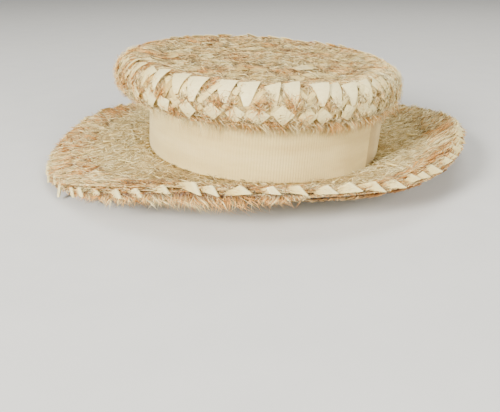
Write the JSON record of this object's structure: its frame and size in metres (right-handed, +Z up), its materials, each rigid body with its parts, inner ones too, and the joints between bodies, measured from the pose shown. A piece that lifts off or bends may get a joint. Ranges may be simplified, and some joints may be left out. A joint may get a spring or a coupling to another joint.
{
  "type": "straw boater hat",
  "caption": "Shaggy straw boater with a round padded crown that overhangs a wide ribbon, on a warped oval brim edged with folded straw loops and hair.",
  "frame": {"origin": "middle of the footprint on the table, at its level", "axes": "+Z up, -Y the front of the hat, +X the wearer's left; the hat leans as it rests by itself"},
  "size_m": [0.2994, 0.3488, 0.0809],
  "materials": {
    "bare_straw": "plain woven straw, matt",
    "ivory_straw": "flat split straw with a soft shine",
    "hair_straw": "fine loose straw hair",
    "peach_straw": "fine loose straw hair, peach to brown",
    "ribbon": "ribbed grosgrain, dull"
  },
  "bodies": {
    "root": {"crown": "bare_straw", "brim": "bare_straw", "hat_band": "ribbon", "brim_pile": "hair_straw", "brim_edge_plait": "ivory_straw", "brim_fringe": "peach_straw", "drum_plait_lower": "ivory_straw", "drum_plait_upper": "ivory_straw", "drum_fringe_lower": "peach_straw", "drum_fringe_upper": "peach_straw", "tip_pile": "hair_straw", "tip_plait_outer": "ivory_straw", "tip_plait_inner": "ivory_straw"}
  },
  "joints": []
}
